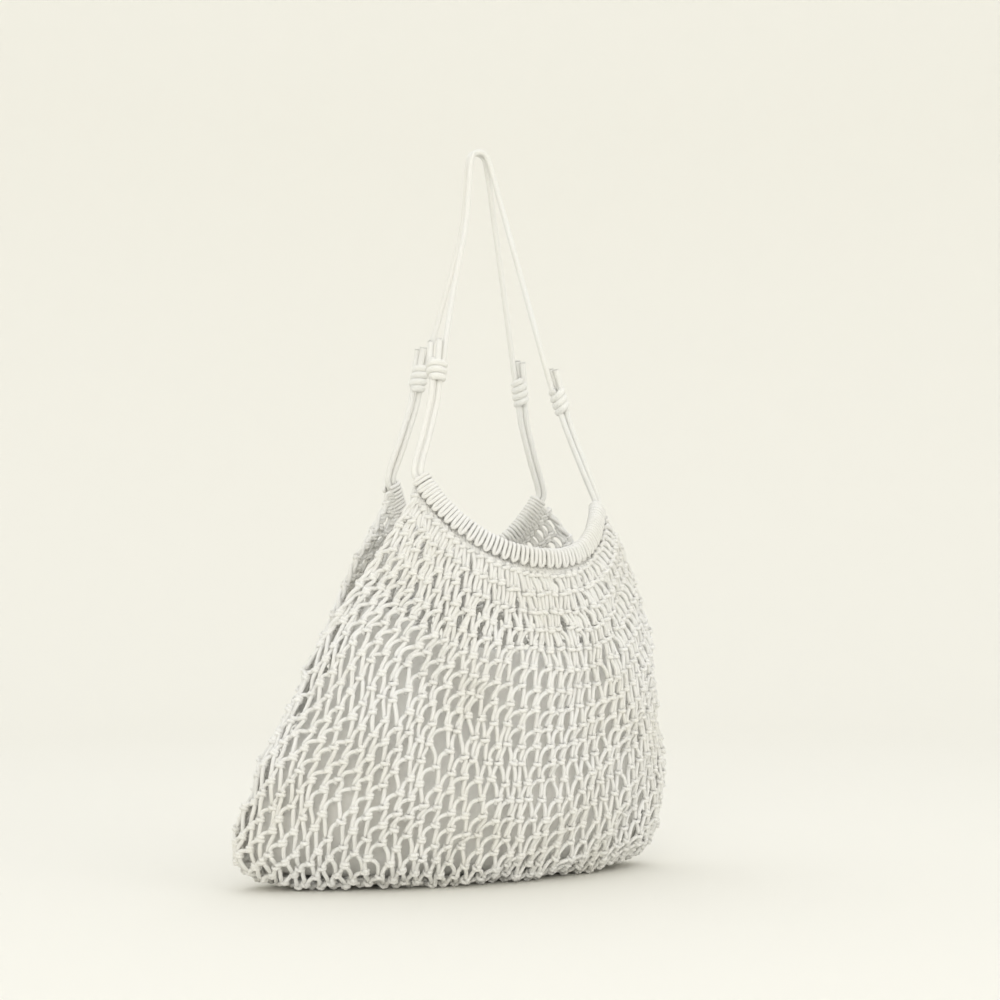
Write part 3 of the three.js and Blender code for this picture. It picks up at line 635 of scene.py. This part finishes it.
def net_lattice(panel_name, sizes):
    """Knots of one panel, a row after the other, in an uneven hand-knotted lattice.

    The columns are spread along the panel by its length, and the rows run down it with an even pace,
    a little ahead in the middle, which sags.
    """
    rng = np.random.default_rng(SEED + (0 if panel_name == "front" else 1))
    panel = PANELS[panel_name]
    n, rows = sizes.net_columns, sizes.net_rows
    levels = np.linspace(0, 1, 161)
    places = np.linspace(-1, 1, 241)
    reach = run_length(skin(panel, places, levels[:, None]), 1)
    mixed = 0.88 * reach / reach[:, -1:] + 0.12 * (places + 1) / 2
    across = np.arange(2 * n + 1) / (2 * n)
    places = np.stack([np.interp(across, m, places) for m in mixed])
    down = run_length(skin(panel, places, levels[:, None]), 0)
    ahead = np.clip(1 - (2 * across - 1.2) ** 2 / 1.44, 0, 1) ** 0.8
    stray = sizes.unevenness / MM
    made = []
    for row in range(rows + 1):
        share = row / rows
        half = np.arange(row % 2, 2 * n + 1, 2)
        sagging = PACE_FADING * (share - share**5 / 5) + PACE_STEADY * share
        pace = share + ahead * (sagging - share)
        lengths = NET_FIRST + (down[-1] - NET_FIRST) * pace
        t = np.array([np.interp(lengths[j], down[:, j], levels) for j in half])
        p = np.array([np.interp(t[i], levels, places[:, j]) for i, j in enumerate(half)])
        at = skin(panel, p, t)
        hang, along, out = hang_frame(panel, p, t)
        edge = (half == 0) | (half == 2 * n)
        shared = (edge & (t > SLIT_SHARE)) | (row == rows)
        shift = rng.normal(0, 1, (len(half), 3)) * (1.0, 0.9, 0.7) * stray * (0.4 if row == 0 else 1.0)
        shift += wander(np.random.default_rng(SEED + 31), at, 70.0) * (1.0, 0.8, 0.5) * WANDER
        shift[edge | (row == rows)] = 0
        at = at + along * shift[:, :1] + hang * shift[:, 1:2] + out * shift[:, 2:]
        at = at - out * VALLEY_DEPTH * valley(panel, p, t)[:, None]
        at[:, 2] = np.maximum(at[:, 2], CAD_BOX[0][2] / MM + LOWEST_KNOT)
        frames = {"at": at, "hang": hang, "along": along, "out": out}
        made.append({"columns": half / 2, "shared": shared, **frames})
    return made


def net_bars(lattice):
    """The bars as rows of (row, index, index in the next row, side)."""
    bars = []
    for row, (here, below) in enumerate(zip(lattice, lattice[1:])):
        for i, c in enumerate(here["columns"]):
            for side in (-1, 1):
                match = np.flatnonzero(np.isclose(below["columns"], c + 0.5 * side))
                if len(match):
                    bars.append((row, i, match[0], side))
    return bars


def bar_lines(lattice, bars, rng):
    """Middle lines of the bars: wide ones arch out of the upper knot, and narrow ones hang straight."""

    def upper(key):
        return np.array([lattice[r][key][i] for r, i, _, _ in bars])

    def lower(key):
        return np.array([lattice[r + 1][key][j] for r, _, j, _ in bars])

    side = np.array([b[3] for b in bars])[:, None]
    top, foot = upper("at"), lower("at")
    hang, along, out = upper("hang"), upper("along"), upper("out")
    reach = foot - top
    aside, drop = dot(reach, along), np.maximum(4.0, dot(reach, hang))
    wide = np.clip((np.abs(aside) - 4.0) / 7.0, 0, 1)
    wide = wide * wide * (3 - 2 * wide)
    loose = rng.normal(0, 1, (len(bars), 4))
    start = top + hang * 1.2 + along * side * 1.5 + out * side * 0.5
    end = foot - lower("hang") * 1.6 - lower("along") * side * 1.35 - lower("out") * side * 0.4
    leave_aside = aside * (0.12 + 0.45 * wide) + loose[:, :1] * 0.9
    first = start + along * leave_aside + hang * drop * (0.34 - 0.24 * wide)
    first = first + out * (0.7 + 0.6 * loose[:, 1:2])
    last = end - lower("hang") * drop * (0.34 + 0.14 * wide) + lower("along") * loose[:, 2:3] * 0.9
    last = last + lower("out") * 0.5 * loose[:, 3:4]
    s = np.linspace(0, 1, BAR_STEPS + 1)[None, :, None]
    return (
        (1 - s) ** 3 * start[:, None]
        + 3 * s * (1 - s) ** 2 * first[:, None]
        + 3 * s * s * (1 - s) * last[:, None]
        + s**3 * end[:, None]
    )


def knot_lines(rows, sizes, rng):
    """Middle lines of the net's knots: a cord that winds nearly twice round its bars, widest halfway."""
    at, hang, along, out = (np.concatenate([r[k] for r in rows]) for k in ("at", "hang", "along", "out"))
    count = len(at)
    share = np.linspace(0, 1, KNOT_STEPS + 1)[None]
    angle = 2 * np.pi * 1.8 * share + rng.uniform(2.2, 4.6, (count, 1))
    tilt = rng.normal(0.22, 0.16, (count, 1))
    grow = rng.uniform(0.9, 1.12, (count, 1))
    wide = sizes.knot_width / MM / 2 * grow * (0.86 + 0.2 * np.sin(np.pi * share))
    x = wide * np.cos(angle)
    y = wide * 0.84 * np.sin(angle)
    z = sizes.knot_height / MM * (share - 0.5) * grow + tilt * x
    lean = rng.normal(0, 0.5, (count, 1))
    return (
        at[:, None]
        + along[:, None] * (x + lean)[..., None]
        + out[:, None] * y[..., None]
        - hang[:, None] * z[..., None]
    )


def hem_lines(panel_name, lattice):
    """Pairs of cords from behind the band down to each knot of the first row."""
    panel = PANELS[panel_name]
    row = lattice[0]
    n = row["columns"][-1]
    lines = []
    places = np.linspace(-1, 1, 241)
    reach = run_length(skin(panel, places, 0.0), 0)
    for column, at, hang, along in zip(row["columns"], row["at"], row["hang"], row["along"]):
        for side in (-1, 1):
            share = np.clip((column + side * 0.25) / n, 0.012, 0.988)
            p = BAND_REACH * np.interp(share * reach[-1], reach, places)
            rim, _, across, out = band_frame(panel, p)
            top = rim + across * (BAND_HALF + 4.0) - out * 4.2
            mouth = rim + across * (2 * BAND_HALF + 0.6) - out * 2.2
            end = at - hang * 1.6 + along * side * 1.35
            lines.append(route([top, mouth, (mouth + end) / 2 + along * side * 0.5, end], 3))
    return np.array(lines)


def edge_lines(lattice):
    """Pairs of cords that cross each other down the edges of the side slits."""
    lines = []
    for end in (0, -1):
        for upper, lower in zip(lattice[0::2], lattice[2::2]):
            if upper["shared"][end]:
                break
            a, b = upper["at"][end], lower["at"][end]
            along, out = upper["along"][end], upper["out"][end]
            for turn in (0, math.pi):
                share = np.linspace(0, 1, 10)[:, None]
                angle = turn + share * 2 * np.pi
                around = (along * np.cos(angle) + out * np.sin(angle)) * EDGE_PAIR / 2
                lines.append(a + (b - a) * share + around)
    return np.array(lines)


class BAG_OT_net(bpy.types.Operator):
    """Knots the net of both panels"""

    bl_idname = "bag.net"
    bl_label = "Net"

    def execute(self, context):
        sizes = context.scene.bag_sizes
        cord = sizes.net_cord / MM
        rng = np.random.default_rng(SEED + 5)
        lattices = {name: net_lattice(name, sizes) for name in PANELS}
        for front, back in zip(lattices["front"], lattices["back"]):
            shared = front["shared"] & back["shared"]
            for key in ("at", "hang"):
                front[key][shared] = back[key][shared] = (front[key][shared] + back[key][shared]) / 2
        for name, lattice in lattices.items():
            bars = net_bars(lattice)
            outs = np.array([lattice[r]["out"][i] for r, i, _, _ in bars])
            parts = [
                cords(bar_lines(lattice, bars, rng), cord, NET_SIDES, outs),
                cords(hem_lines(name, lattice), cord, NET_SIDES, (0, 1.0, 0)),
                cords(edge_lines(lattice), cord, NET_SIDES, (1.0, 0, 0)),
            ]
            replaced = ("net_body",) if name == "front" else ()
            piece(f"net_{name}_cords", parts, net_cord_material(), replaced)
            rows = []
            for data in lattice:
                keep = np.ones(len(data["columns"]), bool) if name == "front" else ~data["shared"]
                rows.append({key: data[key][keep] for key in ("at", "hang", "along", "out")})
            hangs = np.concatenate([r["hang"] for r in rows])
            knots = cords(knot_lines(rows, sizes, rng), cord, NET_SIDES, hangs)
            piece(f"net_{name}_knots", [knots], net_cord_material())
        return {"FINISHED"}


# The rim bands

HOOK_REACH = 3.0
BAND_STEP = 0.5
LEG_POINTS = 40  # of a core cord's route, before its band starts
# How much the loops crowd towards the ends of a band, and how much narrower their ribs are there
LOOP_CROWDING = 0.025
RIB_CROWDING = 0.157


def band_line(panel_name):
    """The middle line of a band's two cords and HOOK_REACH up the legs: points, along, across and out."""
    upper, lower = (core_route(panel_name, order) for order in (0, 1))
    middle = (upper + lower) / 2
    reach = run_length(middle, 0)
    first, last = LEG_POINTS, len(middle) - LEG_POINTS - 1
    at = np.arange(reach[first] - HOOK_REACH, reach[last] + HOOK_REACH, BAND_STEP)

    def along_line(values):
        return np.stack([np.interp(at, reach, values[:, k]) for k in range(3)], -1)

    point = along_line(middle)
    along = unit(np.gradient(point, axis=0))
    across = along_line(lower - upper)
    across = unit(across - dot(across, along) * along)
    return point, along, across, PANELS[panel_name]["side"] * np.cross(along, across)


class BAG_OT_bands(bpy.types.Operator):
    """Wraps loops round the rim cords, as pairs of ribs joined at the bottom"""

    bl_idname = "bag.bands"
    bl_label = "Rim bands"

    def execute(self, context):
        sizes = context.scene.bag_sizes
        cord = sizes.rim_cord / MM
        for name in PANELS:
            rng = np.random.default_rng(SEED + 9)
            point, along, across, out = band_line(name)
            total = run_length(point, 0)
            loops = max(2, round(total[-1] / (sizes.rim_pitch / MM)))
            share = (np.arange(loops) + 0.5) / loops
            rib = total[-1] / loops / 4 * (1 - RIB_CROWDING * np.cos(2 * np.pi * share))[:, None, None]
            share = share - LOOP_CROWDING * np.sin(2 * np.pi * share)
            nearest = np.round(share * total[-1] / BAND_STEP + rng.normal(0, 0.25, loops))
            i = np.clip(nearest, 0, len(point) - 1).astype(int)
            frames = (point[i], along[i], across[i], out[i])
            profile = self.profile(cord)
            left = self.place(frames, profile, -rib)
            right = self.place(frames, profile, rib)
            lines = np.concatenate((left, right[:, -2::-1]), 1)
            lines = lines + rng.normal(0, 0.12, (loops, 1, 3))
            lines = np.array([route(line, 2) for line in lines])
            parts = [cords(lines, cord, NET_SIDES, out[i])]
            piece(f"rim_loops_{name}", parts, net_cord_material(), (f"rim_{name}",))
        return {"FINISHED"}

    @staticmethod
    def profile(cord):
        """One rib's places, as rows of down, out and share of the rib's offset: up behind the two
        rim cords, over them and down in front, to the round end that joins it to its twin."""
        half = CORE_PITCH / 2
        round_it = CORE_CORD / 2 + cord / 2 + 0.2
        rows = [(half + 2.5, 1.2 - round_it, 0.9), (half, -round_it, 1.0), (0, -round_it, 1.0)]
        for a in np.radians(np.linspace(180, 0, 7)):
            rows.append((-half - math.sin(a) * round_it, math.cos(a) * round_it, 1.0))
        rows += [(0, round_it, 1.0), (half, round_it, 1.0)]
        for a in np.radians(np.linspace(25, 90, 4)):
            down = half + math.sin(a) * (round_it + 0.1)
            rows.append((down, round_it - 1.6 * math.sin(a) ** 2, math.cos(a) ** 0.7))
        return np.array(rows)

    @staticmethod
    def place(frames, profile, aside):
        at, along, across, out = (f[:, None] for f in frames)
        down, outward, share = (profile[None, :, k, None] for k in range(3))
        return at + across * down + out * outward + along * share * aside


class BAG_OT_cores(bpy.types.Operator):
    """Runs the braided rim cords through the bands and up to the strap knots"""

    bl_idname = "bag.cores"
    bl_label = "Rim cords"

    def execute(self, context):
        for name in PANELS:
            for order, place in enumerate(("upper", "lower")):
                line = evenly(core_route(name, order), 1.2)
                mesh = cords(line[None], CORE_CORD, 16, (0, 1.0, 0), braid(0.4))
                replaced = (f"core_{name}_{place}",)
                piece(f"rim_cord_{name}_{place}", [mesh], strap_cord_material(), replaced)
        return {"FINISHED"}


class BAG_OT_straps(bpy.types.Operator):
    """Hangs the two braided straps over the peg"""

    bl_idname = "bag.straps"
    bl_label = "Straps"

    def execute(self, context):
        for name in PANELS:
            line = evenly(strap_route(name), 0.6)
            mesh = cords(line[None], STRAP_CORD, 24, (0, 1.0, 0), braid(0.4))
            replaced = (f"strap_{name}",)
            made = piece(f"strap_cord_{name}", [mesh], strap_cord_material(), replaced)
            length_of(line) * MM
        return {"FINISHED"}


# The strap knots

TAIL_LENGTH = 15.0
TAIL_CORD = 5.4
WRAP_TILT = {"front_left": -0.1, "front_right": 0.32, "back_left": 0.0, "back_right": 0.16}


class BAG_OT_strap_knots(bpy.types.Operator):
    """Winds the strap knots round the rim cords, with cut tails above"""

    bl_idname = "bag.strap_knots"
    bl_label = "Strap knots"

    def execute(self, context):
        rng = np.random.default_rng(SEED + 21)
        cord = context.scene.bag_sizes.strap_wrap / MM
        for name, knot in STRAP_KNOTS.items():
            centre, axis, towards, third = knot_frame(knot)
            width, depth, height = knot["size"]
            turns = (height - cord * 0.9) / (cord * 0.98)
            share = np.linspace(0, 1, 160)
            angle = 2 * np.pi * (turns * share + 0.58)
            swell = 1 - 0.16 * np.abs(2 * share - 1) ** 4
            x = np.cos(angle) * (width - cord) / 2 * swell
            y = np.sin(angle) * (depth - cord) / 2 * swell
            z = (share - 0.5) * (height - cord * 0.9) - knot["end"] * WRAP_TILT[name] * x
            line = centre + towards * x[:, None] + third * y[:, None] + axis * z[:, None]
            parts = [cords(evenly(line, 0.8)[None], cord, 20, axis, braid(0.45))]
            for side in (-0.22, 0.22):
                core = np.linspace(-height / 2 + 2, height / 2 - 2, 12)[:, None]
                inside = centre + axis * core + towards * width * side
                parts.append(cords(inside[None], CORE_CORD, 12, towards))
            tails = [
                (-width / 2 + 3.4, 2.2, -0.8, TAIL_LENGTH - 2),
                (strap_side(knot) - 5.8, -2.6, -0.6, TAIL_LENGTH),
            ]
            for u, v, lean, length in tails:
                base = centre + axis * (height / 2 - 6) + towards * u + third * v
                tip = base + axis * (length + 6) + towards * lean
                tail = evenly(np.array([base, (base + tip) / 2 + third * 0.4, tip]), 0.8)
                taper = np.ones(len(tail))
                taper[-4:] = (1.02, 1.05, 1.06, 0.9)
                parts.append(cords(tail[None], TAIL_CORD, 20, towards, braid(0.4), taper))
                parts.append(self.fibres(tip, unit(tip - base), rng))
            piece(f"strap_knot_{name}", parts, strap_cord_material(), (f"knot_{name}",))
        return {"FINISHED"}

    @staticmethod
    def fibres(tip, axis, rng, count=60):
        """Cut fibres that stand a little out of a tail's end."""
        side = unit(np.cross(axis, (0.3, 1.0, 0.2)))
        up = np.cross(axis, side)
        r = 2.5 * np.sqrt(rng.uniform(0, 1, count))
        a = rng.uniform(0, 2 * np.pi, count)
        root = tip + side * (r * np.cos(a))[:, None] + up * (r * np.sin(a))[:, None] - axis * 0.6
        lean = unit(axis + 0.35 * (root - tip) / 2.3 + rng.normal(0, 0.12, (count, 3)))
        reach = rng.uniform(1.0, 2.2, (count, 1))
        lines = np.stack([root + lean * reach * s for s in (0.0, 0.5, 1.0)], 1)
        return cords(lines, 0.36, 4, side)


# The inner pouch

POUCH_TOP = 0.28
POUCH_END = 0.93
POUCH_INSET = 13.0
POUCH_RISE = 5.0
POUCH_LEAN = 8.0
POUCH_WALL = 1.2
CREASE_DEPTH = 20.0


class BAG_OT_pouch(bpy.types.Operator):
    """Hangs the soft cloth pouch inside the net"""

    bl_idname = "bag.pouch"
    bl_label = "Inner pouch"

    def execute(self, context):
        around, levels = 160, 60
        a = np.arange(around) / around * 4
        front = a < 2
        p = np.where(front, a - 1, 3 - a)
        loops = []
        for s in np.arange(levels + 1) / levels:
            t = POUCH_TOP + (POUCH_END - POUCH_TOP) * s
            points = np.where(front[:, None], skin(PANELS["front"], p, t), skin(PANELS["back"], p, t))
            middle = [skin(PANELS[name], 0.0, t) for name in PANELS]
            centre = (middle[0] + middle[1]) / 2
            width = abs(skin(PANELS["front"], 0.999, t)[0] - centre[0])
            depth = np.where(front, abs(middle[0][1] - centre[1]), abs(middle[1][1] - centre[1]))
            closing = 22.0 * np.clip(1 - s / 0.2, 0, 1) ** 1.5 * (1 - p**2)
            inset = POUCH_INSET + 0.5 + POUCH_LEAN * (1 - s) ** 2 + self.folds(p, front, s)
            inset = inset + CREASE_DEPTH * np.where(front, valley(PANELS["front"], p, t), 0)
            away = points - centre
            x = centre[0] + away[:, 0] * (1 - inset / width)
            y = centre[1] + away[:, 1] * np.maximum(0.1, 1 - (inset + closing) / depth)
            rise = np.where(front, 7.0, -5.0) * (1 - p**2) + 3.0 * np.sin(2 * np.pi * 3 * a / 4 + 0.8)
            z = points[:, 2] + POUCH_RISE * s + rise * np.clip(1 - s / 0.35, 0, 1) ** 2
            loops.append(np.stack((x, y, z), -1))
        last = loops[-1]
        middle = np.stack((last[:, 0], np.full(around, last[:, 1].mean()), last[:, 2] - 1.0), -1)
        for s in (0.35, 0.7, 0.97):
            loops.append(last + (middle - last) * s - np.array((0, 0, 1.2 * s)))
        grid = np.array(loops)
        count = len(grid)
        r = np.arange(count - 1)[:, None] * around
        i = np.arange(around)
        j = (i + 1) % around
        faces = np.stack((r + i, r + j, r + around + j, r + around + i), -1).reshape(-1, 4)
        u = np.broadcast_to(i * 5.0, (count - 1, around))
        v = np.broadcast_to(np.arange(count - 1)[:, None] * 4.7, (count - 1, around))
        maps = np.stack((u, v, u + 5.0, v, u + 5.0, v + 4.7, u, v + 4.7), -1).reshape(-1, 4, 2)
        colours = context.scene.bag_colours
        material = made_once("calico_pouch", cloth_material, tuple(colours.cloth), tuple(colours.cloth_shade))
        made = piece(
            "pouch_cloth", [(grid.reshape(-1, 3), faces, maps)], material, ("inner_pouch",)
        )
        wall = made.modifiers.new("wall", "SOLIDIFY")
        wall.thickness = POUCH_WALL * MM
        wall.offset = 0
        return {"FINISHED"}

    @staticmethod
    def folds(p, front, s):
        """How far the cloth stands in from its even shape, in mm."""
        side = np.where(front, 1.0, 0.6)
        broad = 3.2 * np.sin(5.1 * p + 3.0 * s + 0.6)
        sway = broad + 2.0 * np.sin(11.3 * p - 5.0 * s) + 1.3 * np.sin(23 * p + 9 * s)
        return np.maximum(0, 3.5 + sway * side) * (0.35 + 0.65 * (1 - s))


# Stage


class BAG_OT_stage(bpy.types.Operator):
    """Sets the paper floor, the soft lights and the camera at the photograph's angle"""

    bl_idname = "bag.stage"
    bl_label = "Stage"

    def execute(self, context):
        self.camera(context)
        self.paper(context)
        self.lights(context)
        context.scene.view_settings.view_transform = "Standard"
        context.scene.view_settings.look = "None"
        return {"FINISHED"}

    def camera(self, context):
        """The eye stands 1.45 m from the peg's line, 0.207 m above the floor, and looks 5 degrees up."""
        azimuth, pitch = math.radians(-26), math.radians(5)
        distance, above_floor = 1.45, 0.207
        aim_pixels, focal_pixels = 22, 1611
        data = bpy.data.cameras.new("camera")
        data.sensor_width = 36
        data.lens = 58
        data.clip_start = 0.02
        data.clip_end = 60
        cam = bpy.data.objects.new("camera", data)
        context.scene.collection.objects.link(cam)
        back = Vector((math.sin(azimuth), -math.cos(azimuth), 0))
        cam.location = back * distance + Vector((0, 0, above_floor - HANG_HEIGHT * MM))
        heading = azimuth - math.atan(aim_pixels / focal_pixels)
        cam.rotation_euler = (math.pi / 2 + pitch, 0, heading)
        context.scene.camera = cam

    def paper(self, context):
        """One sheet of paper: a round floor that curves up into a wall all the way round."""
        radius, cove, wall, sides = 2.2, 2.0, 2.9, 96
        profile = [(0.02, 0.0), (0.6, 0.0), (1.3, 0.0), (radius, 0.0)]
        for a in np.linspace(0.1, math.pi / 2, 14):
            profile.append((radius + cove * math.sin(a), cove * (1 - math.cos(a))))
        profile.append((radius + cove, wall))
        turn = np.arange(sides) * 2 * np.pi / sides
        points = [(r * np.cos(turn), r * np.sin(turn), np.full(sides, z)) for r, z in profile]
        points = np.stack([np.stack(p, -1) for p in points]).reshape(-1, 3)
        under_bag = 0.0012
        points[:, 2] -= HANG_HEIGHT * MM + under_bag
        r = np.arange(len(profile) - 1)[:, None] * sides
        i = np.arange(sides)
        j = (i + 1) % sides
        faces = np.stack((r + i, r + j, r + sides + j, r + sides + i), -1).reshape(-1, 4)
        faces = np.concatenate((faces[:, ::-1], quad_cap(sides)[:, ::-1]))
        mesh = bpy.data.meshes.new("paper")
        mesh.from_pydata(points.tolist(), [], faces.tolist())
        mesh.polygons.foreach_set("use_smooth", np.ones(len(mesh.polygons), bool))
        colours = context.scene.bag_colours
        mesh.materials.append(made_once("background_paper", paper_material, tuple(colours.paper)))
        paper = bpy.data.objects.new("paper", mesh)
        context.scene.collection.objects.link(paper)

    def lights(self, context):
        """An even bright sky, with two wide soft lights in front, a stronger one left and one right."""
        world = bpy.data.worlds.new("studio")
        world.use_nodes = True
        sky = world.node_tree.nodes["Background"]
        sky.inputs[0].default_value = linear("#fdfeff")
        sky.inputs[1].default_value = 1.12
        context.scene.world = world
        rows = [
            ("key", (-1.9, -2.9, 0.55), 2.0, 27),
            ("fill", (1.5, -3.0, 0.1), 2.0, 13),
        ]
        for name, place, size, power in rows:
            data = bpy.data.lights.new(name, "AREA")
            data.shape = "DISK"
            data.size = size
            data.energy = power
            lamp = bpy.data.objects.new(name, data)
            lamp.location = place
            target = Vector((0, 0, -0.42))
            lamp.rotation_mode = "QUATERNION"
            lamp.rotation_quaternion = (target - lamp.location).to_track_quat("-Z", "Y")
            context.scene.collection.objects.link(lamp)


class BAG_PT_panel(bpy.types.Panel):
    """Lists the bag's sizes, colours and pieces"""

    bl_idname = "BAG_PT_panel"
    bl_label = "String bag"
    bl_space_type = "VIEW_3D"
    bl_region_type = "UI"
    bl_category = "String bag"

    def draw(self, context):
        layout = self.layout
        for group in (context.scene.bag_sizes, context.scene.bag_colours):
            box = layout.box()
            for key in group.__annotations__:
                box.prop(group, key)
        for operator in OPERATORS:
            layout.operator(operator.bl_idname)


OPERATORS = (
    BAG_OT_stage,
    BAG_OT_straps,
    BAG_OT_cores,
    BAG_OT_bands,
    BAG_OT_net,
    BAG_OT_strap_knots,
    BAG_OT_pouch,
)
GROUPS = {"bag_sizes": BagSizes, "bag_colours": BagColours}


def register():
    for cls in (*GROUPS.values(), *OPERATORS, BAG_PT_panel):
        bpy.utils.register_class(cls)
    for name, cls in GROUPS.items():
        setattr(bpy.types.Scene, name, bpy.props.PointerProperty(type=cls))


def unregister():
    for name in GROUPS:
        delattr(bpy.types.Scene, name)
    for cls in reversed((*GROUPS.values(), *OPERATORS, BAG_PT_panel)):
        bpy.utils.unregister_class(cls)


def main():
    register()
    bpy.ops.bag.stage()
    bpy.ops.bag.straps()
    bpy.ops.bag.cores()
    bpy.ops.bag.bands()
    bpy.ops.bag.net()
    bpy.ops.bag.strap_knots()
    bpy.ops.bag.pouch()


if __name__ == "__main__":
    main()
